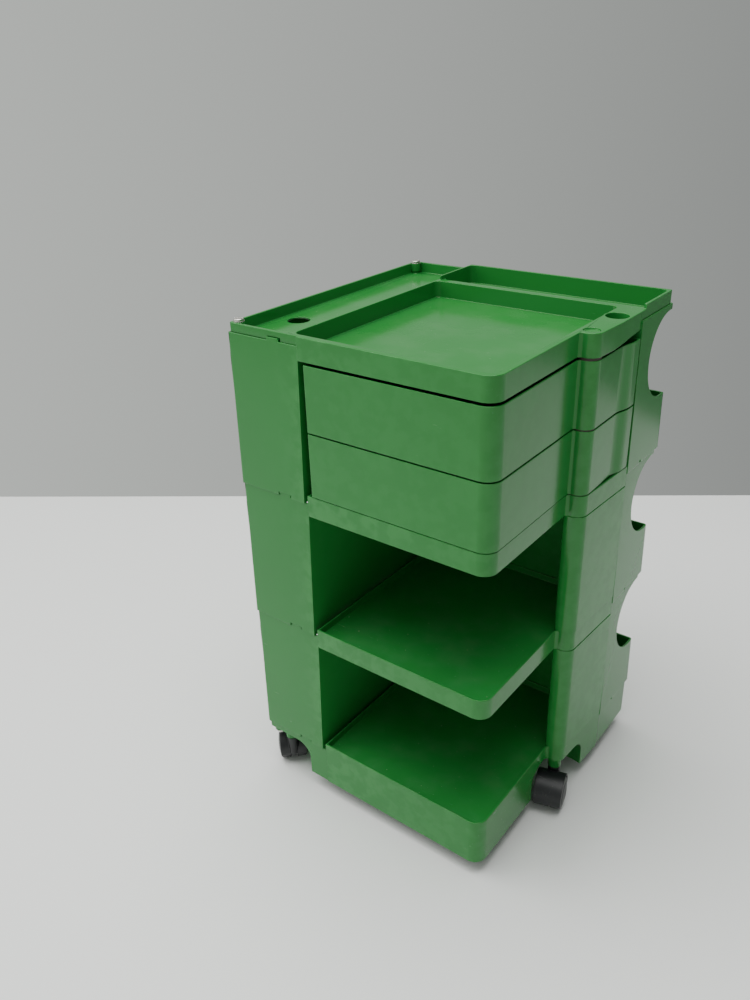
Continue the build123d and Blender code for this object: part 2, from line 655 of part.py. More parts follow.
with BuildPart() as tie_washers:
    for foot in (rim_top, base_seam - tie_foot_depth - tie_washer_height):
        with BuildSketch(Plane.XY.offset(foot)) as rings:
            with Locations(*tie_places):
                Circle(tie_head_radius + tie_washer_height)
                Circle(tie_radius + hole_fit, mode=Mode.SUBTRACT)
        extrude(amount=tie_washer_height)
pieces["tie_washers"] = tie_washers.part

with BuildPart() as tie_nuts:
    with BuildSketch(Plane.XY.offset(tie_rod_foot + tie_show)) as nuts:
        with Locations(*tie_places):
            RegularPolygon(tie_nut_size / 2, 6, major_radius=False)
            Circle(tie_radius, mode=Mode.SUBTRACT)
    extrude(amount=tie_nut_height)
pieces["tie_nuts"] = tie_nuts.part

with BuildPart() as caster_sleeves:
    with BuildSketch(Plane.XY.offset(socket_boss_foot)) as sleeves:
        with Locations(*stems):
            Circle(sleeve_radius)
            Circle(stem_radius + shaft_fit, mode=Mode.SUBTRACT)
    extrude(amount=stem_length)
pieces["caster_sleeves"] = caster_sleeves.part


# --- casters ----------------------------------------------------------------------------------------------
def caster_hood() -> Part:
    """Hood with its middle web and the collar for the stem, trailing along +X from the stem."""
    inner = wheel_radius + hood_gap
    outer = inner + hood_wall
    with BuildPart() as hood:
        with BuildSketch(Plane.XZ.offset(-hood_width / 2)) as cover:
            with Locations((trail, wheel_radius)):
                Circle(outer)
            with Locations((trail, hood_foot)):
                Rectangle(4 * outer, 2 * outer, align=(Align.CENTER, Align.MAX), mode=Mode.SUBTRACT)
        extrude(amount=hood_width)
        with Locations((0, 0, wheel_radius)):
            Cylinder(stem_radius + collar_wall, caster_head - wheel_radius, align=up)
        for side in (-1, 1):
            with BuildSketch(Plane.XZ.offset(-side * (hood_width / 2 + 1))) as room:
                with Locations((trail, wheel_radius)):
                    Circle(inner)
            extrude(amount=side * (hood_width / 2 + 1 - web_width / 2), mode=Mode.SUBTRACT)
        with BuildSketch(Plane.XZ.offset(-web_width / 2)) as web:
            with Locations((trail, wheel_radius)):
                Circle(inner)
            with Locations((trail, wheel_radius - web_drop)):
                Rectangle(4 * outer, 2 * outer, align=(Align.CENTER, Align.MAX), mode=Mode.SUBTRACT)
        extrude(amount=web_width)
        with Locations(Location((trail, 0, wheel_radius), (90, 0, 0))):
            Cylinder(axle_radius, hood_width, mode=Mode.SUBTRACT)
        with Locations((0, 0, caster_head - stem_grip)):
            Cylinder(stem_radius, 2 * stem_grip, align=up, mode=Mode.SUBTRACT)
    return hood.part


def caster_wheel(side: int) -> Part:
    """One wheel of the pair, on the side of the web that side names."""
    near = web_width / 2 + running_gap
    far = near + wheel_width
    with BuildPart() as wheel:
        with BuildSketch(Plane.XZ) as section:
            with BuildLine():
                Polyline(
                    (0, near), (wheel_radius - edge_chamfer, near), (wheel_radius, near + edge_chamfer),
                    (wheel_radius, far - wheel_round), (wheel_radius - wheel_round, far),
                )
                TangentArc((0, far + wheel_crown), (wheel_radius - wheel_round, far), tangent=(1, 0))
                Line((0, far + wheel_crown), (0, near))
            make_face()
        revolve(axis=Axis.Z)
        with Locations((0, 0, near)):
            Cylinder(axle_radius + shaft_fit, wheel_width - wheel_cap, align=up, mode=Mode.SUBTRACT)
    return wheel.part.moved(Location((trail, 0, wheel_radius), (-90 * side, 0, 0)))


for caster, (stem_x, stem_y, angle) in casters.items():
    place = Location((stem_x, stem_y, 0), (0, 0, angle))
    with BuildPart() as stem:
        with Locations((0, 0, caster_head - stem_grip)):
            Cylinder(stem_radius, stem_grip + stem_length, align=up)
        chamfer(stem.edges().group_by(Axis.Z)[-1], edge_chamfer)
    with BuildPart() as axle:
        with Locations(Location((trail, 0, wheel_radius), (90, 0, 0))):
            Cylinder(axle_radius, web_width + 2 * (running_gap + wheel_width - wheel_cap - seat_gap))
    pieces[f"caster_{caster}_hood"] = caster_hood().moved(place)
    pieces[f"caster_{caster}_stem"] = stem.part.moved(place)
    pieces[f"caster_{caster}_axle"] = axle.part.moved(place)
    pieces[f"caster_{caster}_wheel_a"] = caster_wheel(1).moved(place)
    pieces[f"caster_{caster}_wheel_b"] = caster_wheel(-1).moved(place)

# --- write ------------------------------------------------------------------------------------------------
os.makedirs("parts", exist_ok=True)
for name, piece in pieces.items():
    piece.label = name
    export_step(piece, f"parts/{name}.step")
whole = Compound(children=list(pieces.values())).bounding_box()
print(len(pieces), "pieces", whole.min, whole.max)
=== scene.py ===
"""Storage trolley: stacked glossy mouldings, two swing-out drawers, steel rods and twin-wheel casters.

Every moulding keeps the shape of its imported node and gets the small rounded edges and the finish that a
moulded piece has. Small turned pieces, such as wheels and the pivot cap, are lathed again in more detail.
"""

import json
import logging
import math
from dataclasses import dataclass, field
from enum import Enum

import bmesh
import bpy
from mathutils import Euler, Matrix, Vector
from mathutils.bvhtree import BVHTree


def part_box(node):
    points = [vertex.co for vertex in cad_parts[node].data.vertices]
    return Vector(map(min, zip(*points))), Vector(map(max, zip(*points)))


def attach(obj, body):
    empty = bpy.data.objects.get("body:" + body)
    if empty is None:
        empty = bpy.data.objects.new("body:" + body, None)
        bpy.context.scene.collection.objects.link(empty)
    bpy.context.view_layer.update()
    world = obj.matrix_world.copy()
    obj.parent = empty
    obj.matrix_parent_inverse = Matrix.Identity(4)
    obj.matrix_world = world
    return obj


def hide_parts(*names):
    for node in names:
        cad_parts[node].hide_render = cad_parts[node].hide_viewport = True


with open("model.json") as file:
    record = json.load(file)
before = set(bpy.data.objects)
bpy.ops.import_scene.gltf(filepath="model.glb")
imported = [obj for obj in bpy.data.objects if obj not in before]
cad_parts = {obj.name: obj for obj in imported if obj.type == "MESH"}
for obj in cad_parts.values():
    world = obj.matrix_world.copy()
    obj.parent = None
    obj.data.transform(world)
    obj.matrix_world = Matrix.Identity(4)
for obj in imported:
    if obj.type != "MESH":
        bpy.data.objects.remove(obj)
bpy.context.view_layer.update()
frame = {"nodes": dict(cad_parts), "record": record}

MM = 0.001
MIX_FROM, MIX_TO, MIX_RESULT = 6, 7, 2  # colour sockets of a Mix node
log = logging.getLogger("trolley")

Colour = tuple[float, float, float]
Profile = list[tuple[float, float]]


class Slot(Enum):
    """Material slots of the record."""

    BODY = "body_plastic"
    HOOD = "caster_plastic"
    WHEEL = "wheel_plastic"
    STEEL = "zinc_steel"
    FIBRE = "fibre_washer"


# --- shader groups ------------------------------------------------------------------------------------
class ShaderGroup:
    """A node group under construction, with helpers that add and join its nodes."""

    def __init__(self, name: str, inputs: dict[str, float], outputs: list[str]) -> None:
        """Makes the group and its sockets.

        Args:
            name: name of the group.
            inputs: float inputs with their default values.
            outputs: float outputs.
        """
        self.tree = bpy.data.node_groups.new(name, "ShaderNodeTree")
        for key, value in inputs.items():
            socket = self.tree.interface.new_socket(key, in_out="INPUT", socket_type="NodeSocketFloat")
            socket.default_value = value
        for key in outputs:
            self.tree.interface.new_socket(key, in_out="OUTPUT", socket_type="NodeSocketFloat")
        self.source = self.tree.nodes.new("NodeGroupInput").outputs
        self.result = self.tree.nodes.new("NodeGroupOutput").inputs
        self.place = self.tree.nodes.new("ShaderNodeTexCoord").outputs["Object"]

    def join(self, start: bpy.types.NodeSocket, end: bpy.types.NodeSocket) -> None:
        """Links two sockets."""
        self.tree.links.new(start, end)

    def noise(self, scale: float | bpy.types.NodeSocket, detail: float, stretch: Vector | None = None,
              turn: float = 0.0) -> bpy.types.NodeSocket:
        """Adds a noise texture on the object's own coordinates.

        Args:
            scale: repeats to the metre, or a socket that gives them.
            detail: octaves.
            stretch: scale along each axis before the noise, for streaks.
            turn: angle about Z of that stretch, in degrees.

        Returns:
            The noise's value.
        """
        node = self.tree.nodes.new("ShaderNodeTexNoise")
        node.inputs["Detail"].default_value = detail
        start = self.place
        if stretch is not None:
            mapping = self.tree.nodes.new("ShaderNodeMapping")
            mapping.inputs["Scale"].default_value = stretch
            mapping.inputs["Rotation"].default_value = (0, 0, math.radians(turn))
            self.join(start, mapping.inputs["Vector"])
            start = mapping.outputs["Vector"]
        self.join(start, node.inputs["Vector"])
        if isinstance(scale, bpy.types.NodeSocket):
            self.join(scale, node.inputs["Scale"])
        else:
            node.inputs["Scale"].default_value = scale
        return node.outputs["Fac"]

    def ramp(self, value: bpy.types.NodeSocket, low: float, high: float) -> bpy.types.NodeSocket:
        """Maps low to high onto 0 to 1, smoothly and clamped.

        Args:
            value: the socket to map.
            low: what becomes 0.
            high: what becomes 1.

        Returns:
            The mapped value.
        """
        node = self.tree.nodes.new("ShaderNodeMapRange")
        node.interpolation_type = "SMOOTHSTEP"
        node.inputs["From Min"].default_value = low
        node.inputs["From Max"].default_value = high
        self.join(value, node.inputs["Value"])
        return node.outputs["Result"]

    def math(self, kind: str, one: bpy.types.NodeSocket,
             two: float | bpy.types.NodeSocket) -> bpy.types.NodeSocket:
        """Adds a math node.

        Args:
            kind: Blender's name of the operation.
            one: the first operand.
            two: the second operand, a number or a socket.

        Returns:
            The node's value.
        """
        node = self.tree.nodes.new("ShaderNodeMath")
        node.operation = kind
        self.join(one, node.inputs[0])
        if isinstance(two, bpy.types.NodeSocket):
            self.join(two, node.inputs[1])
        else:
            node.inputs[1].default_value = two
        return node.outputs["Value"]


class Effects:
    """The surface effects that the finishes share, each a node group built once."""

    def __init__(self) -> None:
        """Builds the groups."""
        self.drift = self.colour_drift()
        self.peel = self.orange_peel()
        self.wear_and_highlight = self.edge_wear_and_highlight()
        self.dust_and_glint = self.dust_and_glint_specks()
        self.scuff = self.scuffs()

    @staticmethod
    def colour_drift() -> bpy.types.NodeTree:
        """Slow change of shade over a moulding, with faint flow marks."""
        group = ShaderGroup("colour_drift", {"Amount": 0.3}, ["Mask"])
        cloud = group.noise(5.0, 3.0)
        flow = group.noise(9.0, 2.0, Vector((1.0, 1.0, 0.25)), 20.0)
        total = group.math("ADD", group.math("MULTIPLY", cloud, 0.7), group.math("MULTIPLY", flow, 0.3))
        group.join(group.math("MULTIPLY", group.ramp(total, 0.35, 0.65), group.source["Amount"]),
                   group.result["Mask"])
        return group.tree

    @staticmethod
    def orange_peel() -> bpy.types.NodeTree:
        """Height of a glossy moulded skin: long sink waves under a fine orange peel."""
        group = ShaderGroup("orange_peel", {"Wave": 1.0, "Peel": 0.1}, ["Height"])
        wave = group.math("MULTIPLY", group.noise(14.0, 1.0), group.source["Wave"])
        peel = group.math("MULTIPLY", group.noise(420.0, 2.0), group.source["Peel"])
        group.join(group.math("ADD", wave, peel), group.result["Height"])
        return group.tree

    @staticmethod
    def edge_wear_and_highlight() -> bpy.types.NodeTree:
        """Mask of convex edges, broken up so that some stretches are marked and others are not: rubbed wear
        on the hood, wheels and steel, and a painted highlight along the rims of the green plastic.
        """
        group = ShaderGroup("edge_wear_and_highlight", {"Amount": 0.5}, ["Mask"])
        geometry = group.tree.nodes.new("ShaderNodeNewGeometry")
        edge = group.ramp(geometry.outputs["Pointiness"], 0.52, 0.60)
        broken = group.ramp(group.noise(60.0, 4.0), 0.40, 0.62)
        worn = group.math("MULTIPLY", edge, broken)
        group.join(group.math("MULTIPLY", worn, group.source["Amount"]), group.result["Mask"])
        return group.tree

    @staticmethod
    def dust_and_glint_specks() -> bpy.types.NodeTree:
        """Dust film and pale specks on faces that look up; the specks are painted glints as well as dust."""
        group = ShaderGroup("dust_and_glint_specks", {"Film": 0.2, "Specks": 0.6}, ["Mask"])
        geometry = group.tree.nodes.new("ShaderNodeNewGeometry")
        split = group.tree.nodes.new("ShaderNodeSeparateXYZ")
        group.join(geometry.outputs["Normal"], split.inputs["Vector"])
        level = group.ramp(split.outputs["Z"], 0.55, 0.95)
        film = group.math("MULTIPLY", group.ramp(group.noise(22.0, 5.0), 0.40, 0.75), group.source["Film"])
        # Painted glints: sparse pale specks, which also stand for dust.
        glint_speck = group.ramp(group.noise(330.0, 1.0), 0.78, 0.82)
        glint_speck = group.math("MULTIPLY", glint_speck, group.source["Specks"])
        group.join(group.math("MULTIPLY", group.math("MAXIMUM", film, glint_speck), level), group.result["Mask"])
        return group.tree

    @staticmethod
    def scuffs() -> bpy.types.NodeTree:
        """Fine dull scratches in two directions, gathered in patches."""
        group = ShaderGroup("scuffs", {"Amount": 0.5}, ["Mask"])
        first = group.ramp(group.noise(55.0, 3.0, Vector((0.6, 14.0, 3.0)), 24.0), 0.66, 0.74)
        second = group.ramp(group.noise(48.0, 3.0, Vector((12.0, 0.7, 5.0)), -31.0), 0.68, 0.76)
        patch = group.ramp(group.noise(7.0, 2.0), 0.45, 0.62)
        both = group.math("MULTIPLY", group.math("MAXIMUM", first, second), patch)
        group.join(group.math("MULTIPLY", both, group.source["Amount"]), group.result["Mask"])
        return group.tree


# --- finishes -----------------------------------------------------------------------------------------
class MaterialSheet:
    """A material under construction, with its Principled shader and helpers."""

    def __init__(self, name: str) -> None:
        """Makes the material with one shader.

        Args:
            name: name of the material.
        """
        self.material = bpy.data.materials.new(name)
        self.material.use_nodes = True
        self.tree = self.material.node_tree
        self.shader = self.tree.nodes["Principled BSDF"]

    def effect(self, group: bpy.types.NodeTree, **values: float) -> bpy.types.NodeSocket:
        """Places a shared effect with this finish's own values.

        Args:
            group: the effect.
            values: the effect's inputs by name.

        Returns:
            The effect's output.
        """
        node = self.tree.nodes.new("ShaderNodeGroup")
        node.node_tree = group
        for key, value in values.items():
            node.inputs[key].default_value = value
        return node.outputs[0]

    def mix(self, share: bpy.types.NodeSocket, one: Colour | bpy.types.NodeSocket,
            two: Colour) -> bpy.types.NodeSocket:
        """Mixes a colour towards another by a mask.

        Args:
            share: the mask.
            one: the colour where the mask is 0.
            two: the colour where the mask is 1.

        Returns:
            The mixed colour.
        """
        node = self.tree.nodes.new("ShaderNodeMix")
        node.data_type = "RGBA"
        self.tree.links.new(share, node.inputs["Factor"])
        if isinstance(one, bpy.types.NodeSocket):
            self.tree.links.new(one, node.inputs[MIX_FROM])
        else:
            node.inputs[MIX_FROM].default_value = (*one, 1.0)
        node.inputs[MIX_TO].default_value = (*two, 1.0)
        return node.outputs[MIX_RESULT]

    def lift(self, share: bpy.types.NodeSocket, base: float | bpy.types.NodeSocket,
             amount: float) -> bpy.types.NodeSocket:
        """Adds amount times a mask to a number.

        Args:
            share: the mask.
            base: the number where the mask is 0, or a socket that gives it.
            amount: what a full mask adds.

        Returns:
            The sum.
        """
        node = self.tree.nodes.new("ShaderNodeMath")
        node.operation = "MULTIPLY_ADD"
        self.tree.links.new(share, node.inputs[0])
        node.inputs[1].default_value = amount
        if isinstance(base, bpy.types.NodeSocket):
            self.tree.links.new(base, node.inputs[2])
        else:
            node.inputs[2].default_value = base
        return node.outputs["Value"]

    def bump(self, height: bpy.types.NodeSocket, distance: float, strength: float) -> None:
        """Feeds a height to the shader's normal.

        Args:
            height: the height.
            distance: depth of the relief in metres.
            strength: share of the relief that shows.
        """
        node = self.tree.nodes.new("ShaderNodeBump")
        node.inputs["Distance"].default_value = distance
        node.inputs["Strength"].default_value = strength
        self.tree.links.new(height, node.inputs["Height"])
        self.tree.links.new(node.outputs["Normal"], self.shader.inputs["Normal"])

    def feed(self, socket: str, value: bpy.types.NodeSocket) -> None:
        """Links a value to one of the shader's sockets."""
        self.tree.links.new(value, self.shader.inputs[socket])


@dataclass(frozen=True)
class GlossyPlastic:
    """Through-coloured glossy plastic with scuffs, a little dust, a painted highlight along its rims and
    pale specks that are painted glints as well as dust.
    """

    name: str
    colour: Colour
    deep: Colour
    # lighter green of the painted rim highlight
    rubbed_and_highlight: Colour
    dust_and_glint: Colour
    roughness: float = 0.16
    film: float = 0.03
    scuffing: float = 0.5
    wear_and_highlight: float = 0.4

    def material(self, effects: Effects) -> bpy.types.Material:
        """Builds the material.

        Args:
            effects: the shared surface effects.

        Returns:
            The finished material.
        """
        sheet = MaterialSheet(self.name)
        drift = sheet.effect(effects.drift, Amount=0.6)
        wear_and_highlight = sheet.effect(effects.wear_and_highlight, Amount=self.wear_and_highlight)
        dust_and_glint = sheet.effect(effects.dust_and_glint, Film=self.film, Specks=0.35)
        scuff = sheet.effect(effects.scuff, Amount=self.scuffing)
        colour = sheet.mix(drift, self.colour, self.deep)
        # Painted highlight: the convex rims turn a lighter green.
        colour = sheet.mix(wear_and_highlight, colour, self.rubbed_and_highlight)
        # Dust film and pale specks on faces that look up; the specks are painted glints as well as dust.
        colour = sheet.mix(dust_and_glint, colour, self.dust_and_glint)
        sheet.feed("Base Color", colour)
        roughness = sheet.lift(scuff, self.roughness, 0.25)
        roughness = sheet.lift(wear_and_highlight, roughness, 0.15)
        sheet.feed("Roughness", sheet.lift(dust_and_glint, roughness, 0.5))
        sheet.shader.inputs["IOR"].default_value = 1.37
        sheet.bump(sheet.effect(effects.peel, Wave=0.25, Peel=0.02), 0.0009, 0.30)
        return sheet.material


@dataclass(frozen=True)
class SatinPlastic:
    """Dark satin plastic with a fine grain, handled edges and floor dust."""

    name: str
    colour: Colour
    rubbed_and_highlight: Colour
    dust_and_glint: Colour
    roughness: float = 0.42
    film: float = 0.10

    def material(self, effects: Effects) -> bpy.types.Material:
        """Builds the material.

        Args:
            effects: the shared surface effects.

        Returns:
            The finished material.
        """
        sheet = MaterialSheet(self.name)
        drift = sheet.effect(effects.drift, Amount=0.5)
        wear_and_highlight = sheet.effect(effects.wear_and_highlight, Amount=0.7)
        dust_and_glint = sheet.effect(effects.dust_and_glint, Film=self.film, Specks=0.4)
        scuff = sheet.effect(effects.scuff, Amount=0.8)
        colour = sheet.mix(drift, self.colour, self.rubbed_and_highlight)
        colour = sheet.mix(wear_and_highlight, colour, self.rubbed_and_highlight)
        colour = sheet.mix(scuff, colour, self.dust_and_glint)
        sheet.feed("Base Color", sheet.mix(dust_and_glint, colour, self.dust_and_glint))
        sheet.feed("Roughness", sheet.lift(dust_and_glint, sheet.lift(scuff, self.roughness, 0.2), 0.35))
        sheet.shader.inputs["IOR"].default_value = 1.49
        sheet.bump(sheet.effect(effects.peel, Wave=0.2, Peel=1.0), 0.0002, 0.5)
        return sheet.material


@dataclass(frozen=True)
class PlatedSteel:
    """Zinc-plated steel, faintly cloudy, with tarnish where it is rubbed."""

    name: str
    colour: Colour
    tarnish: Colour
    roughness: float = 0.28

    def material(self, effects: Effects) -> bpy.types.Material:
        """Builds the material.

        Args:
            effects: the shared surface effects.

        Returns:
            The finished material.
        """
        sheet = MaterialSheet(self.name)
        cloud = sheet.effect(effects.drift, Amount=0.5)
        wear_and_highlight = sheet.effect(effects.wear_and_highlight, Amount=0.6)
        scuff = sheet.effect(effects.scuff, Amount=0.9)
        colour = sheet.mix(cloud, self.colour, self.tarnish)
        sheet.feed("Base Color", sheet.mix(wear_and_highlight, colour, self.tarnish))
        sheet.feed("Roughness", sheet.lift(cloud, sheet.lift(scuff, self.roughness, 0.2), 0.25))
        sheet.shader.inputs["Metallic"].default_value = 1.0
        sheet.bump(sheet.effect(effects.peel, Wave=0.1, Peel=0.8), 0.0001, 0.4)
        return sheet.material


@dataclass(frozen=True)
class VulcanFibre:
    """Dark pressed fibre of the spacer rings."""

    name: str
    colour: Colour
    dark: Colour

    def material(self, effects: Effects) -> bpy.types.Material:
        """Builds the material.

        Args:
            effects: the shared surface effects.

        Returns:
            The finished material.
        """
        sheet = MaterialSheet(self.name)
        drift = sheet.effect(effects.drift, Amount=0.9)
        scuff = sheet.effect(effects.scuff, Amount=0.8)
        sheet.feed("Base Color", sheet.mix(scuff, sheet.mix(drift, self.colour, self.dark), self.dark))
        sheet.feed("Roughness", sheet.lift(drift, 0.62, 0.2))
        sheet.bump(sheet.effect(effects.peel, Wave=0.3, Peel=1.0), 0.0002, 0.6)
        return sheet.material


class Finishes:
    """The trolley's finishes, by material slot."""

    def __init__(self) -> None:
        """Builds every material once."""
        effects = Effects()
        # Green: base, darker drift tone, lighter green of the painted rim highlight, pale colour of dust and
        # of the painted glint specks.
        green = GlossyPlastic("green_gloss", (0.021, 0.190, 0.034), (0.018, 0.172, 0.029),
                              (0.08, 0.35, 0.10), (0.44, 0.48, 0.42))
        hood = SatinPlastic("hood_satin", (0.007, 0.008, 0.009), (0.016, 0.017, 0.019),
                            (0.09, 0.09, 0.085))
        wheel = SatinPlastic("wheel_satin", (0.006, 0.007, 0.008), (0.014, 0.015, 0.017),
                             (0.08, 0.08, 0.075), roughness=0.36)
        steel = PlatedSteel("plated_steel", (0.62, 0.61, 0.58), (0.36, 0.34, 0.30))
        fibre = VulcanFibre("pressed_fibre", (0.055, 0.042, 0.034), (0.030, 0.024, 0.020))
        self.by_slot = {
            Slot.BODY: green.material(effects), Slot.HOOD: hood.material(effects),
            Slot.WHEEL: wheel.material(effects), Slot.STEEL: steel.material(effects),
            Slot.FIBRE: fibre.material(effects),
        }

    def dress(self, piece: bpy.types.Object, slot: Slot) -> None:
        """Puts on a piece the one finish of its slot.

        Args:
            piece: the piece.
            slot: the record's slot that it belongs to.
        """
        piece.data.materials.clear()
        piece.data.materials.append(self.by_slot[slot])


# --- making pieces ------------------------------------------------------------------------------------
def body_of(node: str) -> str:
    """Name of the body that a node rides on."""
    bodies = frame["record"]["behaviour"]["bodies"]
    return next(body for body, members in bodies.items() if node in members)


def finish_mesh(name: str, shell: bmesh.types.BMesh, crease: float = 40.0) -> bpy.types.Object:
    """Turns a bmesh into a shaded object at the origin.

    Args:
        name: name of the piece.
        shell: the mesh, which is freed.
        crease: angle in degrees past which an edge stays sharp.

    Returns:
        The new object, linked to the scene.
    """
    mesh = bpy.data.meshes.new(name)
    shell.to_mesh(mesh)
    shell.free()
    mesh.shade_smooth()
    mesh.set_sharp_from_angle(angle=math.radians(crease))
    piece = bpy.data.objects.new(name, mesh)
    bpy.context.scene.collection.objects.link(piece)
    weighted = piece.modifiers.new("face_weighted", "WEIGHTED_NORMAL")
    weighted.keep_sharp = True
    weighted.weight = 80
    return piece


def lathe(profile: Profile, steps: int) -> bmesh.types.BMesh:
    """Turns a closed profile of (radius, height) points about Z.

    Args:
        profile: outline in millimetres; it starts and ends on the axis or closes on itself.
        steps: facets round the circle.

    Returns:
        A closed mesh in metres.
    """
    shell = bmesh.new()
    points = [shell.verts.new((radius * MM, 0, height * MM)) for radius, height in profile]
    ring = [shell.edges.new(pair) for pair in zip(points, points[1:])]
    if profile[0][0] > 0:
        ring.append(shell.edges.new((points[-1], points[0])))
    bmesh.ops.spin(shell, geom=points + ring, cent=(0, 0, 0), axis=(0, 0, 1), dvec=(0, 0, 0),
                   angle=math.tau, steps=steps, use_merge=True)
    bmesh.ops.remove_doubles(shell, verts=shell.verts, dist=1e-6)
    bmesh.ops.recalc_face_normals(shell, faces=shell.faces)
    return shell


@dataclass
class Moulding:
    """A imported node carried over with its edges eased, as a mould leaves them."""

    node: str
    slot: Slot
    easing_mm: float = 0.7
    segments: int = 2
    sharpest_deg: float = 32.0
    pointed_deg: float = 40.0
    stop_short_mm: float = 4.0

    def shell(self) -> bmesh.types.BMesh:
        """Copies the node's mesh, joins its loose triangles into faces and eases its edges.

        Returns:
            The eased mesh.
        """
        shell = bmesh.new()
        shell.from_mesh(frame["nodes"][self.node].data)
        bmesh.ops.remove_doubles(shell, verts=shell.verts, dist=1e-6)
        bmesh.ops.dissolve_limit(shell, angle_limit=math.radians(0.6), verts=shell.verts, edges=shell.edges)
        many_sided = [face for face in shell.faces if len(face.verts) > 4]
        bmesh.ops.triangulate(shell, faces=many_sided, quad_method="BEAUTY", ngon_method="BEAUTY")
        packed = BVHTree.FromBMesh(shell)
        bmesh.ops.bevel(shell, geom=self.rims(shell), offset=self.easing_mm * MM, offset_type="OFFSET",
                        segments=self.segments, profile=0.5, affect="EDGES", material=-1,
                        clamp_overlap=False, loop_slide=True, miter_outer="SHARP")
        for corner in shell.verts:
            nearest, _, _, distance = packed.find_nearest(corner.co)
            if distance > self.easing_mm * MM / 2:
                corner.co = nearest
        return shell

    def rims(self, shell: bmesh.types.BMesh) -> list[bmesh.types.BMEdge]:
        """Finds the sharp edges to ease, and leaves out the last stretch before a pointed corner.

        Args:
            shell: the joined mesh, whose long edges are cut short of such corners.

        Returns:
            The edges to ease.
        """
        limit = math.radians(self.sharpest_deg)

        def sharp(edge: bmesh.types.BMEdge) -> bool:
            """Whether the edge stands out enough to be eased."""
            return len(edge.link_faces) == 2 and edge.calc_face_angle(0.0) > limit

        pointed = set()
        for corner in shell.verts:
            ways = [(edge.other_vert(corner).co - corner.co) for edge in corner.link_edges if sharp(edge)]
            narrow = any(one.angle(two) < math.radians(self.pointed_deg)
                         for place, one in enumerate(ways) for two in ways[place + 1:])
            if narrow:
                pointed.add(corner)
        for corner in pointed:
            for edge in list(corner.link_edges):
                length = edge.calc_length()
                if sharp(edge) and length > 2 * self.stop_short_mm * MM:
                    bmesh.utils.edge_split(edge, corner, self.stop_short_mm * MM / length)
        return [edge for edge in shell.edges if sharp(edge) and not pointed.intersection(edge.verts)]

    def build(self, finishes: Finishes) -> bpy.types.Object:
        """Makes the piece, dresses it and lets it stand for its node.

        Args:
            finishes: the trolley's finishes.

        Returns:
            The new piece.
        """
        piece = finish_mesh(f"{self.node}_shell", self.shell())
        finishes.dress(piece, self.slot)
        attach(piece, body_of(self.node))
        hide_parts(self.node)
        log.info("%s: %d faces", piece.name, len(piece.data.polygons))
        return piece


@dataclass
class Stack:
    """The green mouldings of the stack and the drawers, each with the easing of its edges in millimetres."""

    nodes: dict[str, float] = field(default_factory=lambda: {
        "base_module": 0.9, "lower_module": 0.9, "middle_module": 0.9, "upper_frame": 0.9, "top_tray": 0.8,
        "side_panel_lower": 0.6, "side_panel_middle": 0.6, "drawer_lower": 0.8, "drawer_upper": 0.8,
    })

    def build(self, finishes: Finishes) -> None:
        """Builds every moulding.

        Args:
            finishes: the trolley's finishes.
        """
        for node, easing in self.nodes.items():
            Moulding(node, Slot.BODY, easing).build(finishes)


@dataclass
class Rods:
    """The pivot rod, the two tie rods and what holds them."""

    cap_radius: float = 10.0
    cap_height: float = 3.5
    cap_rim: float = 1.6
    cap_dish: float = 0.9

    def build(self, finishes: Finishes) -> None:
        """Builds the metal pieces, the spacers and the cap.

        Args:
            finishes: the trolley's finishes.
        """
        for node in ("pivot_rod", "pivot_nuts", "pivot_washer", "tie_rod_front_left", "tie_rod_rear_left",
                     "tie_washers", "tie_nuts", "caster_sleeves"):
            Moulding(node, Slot.STEEL, 0.25).build(finishes)
        Moulding("pivot_spacers", Slot.FIBRE, 0.2).build(finishes)
        self.cap(finishes)

    def cap(self, finishes: Finishes) -> None:
        """Lathes the plug over the pivot nut, with its raised rim and dished middle.

        Args:
            finishes: the trolley's finishes.
        """
        low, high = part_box("pivot_cap")
        outer, top = self.cap_radius, self.cap_height
        inner, dish = outer - self.cap_rim, top - self.cap_dish
        profile = [
            (0, 0), (outer - 0.3, 0), (outer, 0.3), (outer, top - 0.6), (outer - 0.3, top - 0.15),
            (outer - 0.8, top), (inner, top - 0.1), (inner - 0.4, dish), (outer - 4.0, dish - 0.2),
            (2.0, dish - 0.3), (1.2, dish), (0, dish),
        ]
        shell = lathe(profile, 64)
        middle = (low + high) / 2
        bmesh.ops.translate(shell, verts=shell.verts, vec=(middle.x, middle.y, low.z))
        piece = finish_mesh("pivot_cap_turned", shell)
        finishes.dress(piece, Slot.BODY)
        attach(piece, body_of("pivot_cap"))
        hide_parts("pivot_cap")
        log.info("pivot cap: %d faces", len(piece.data.polygons))


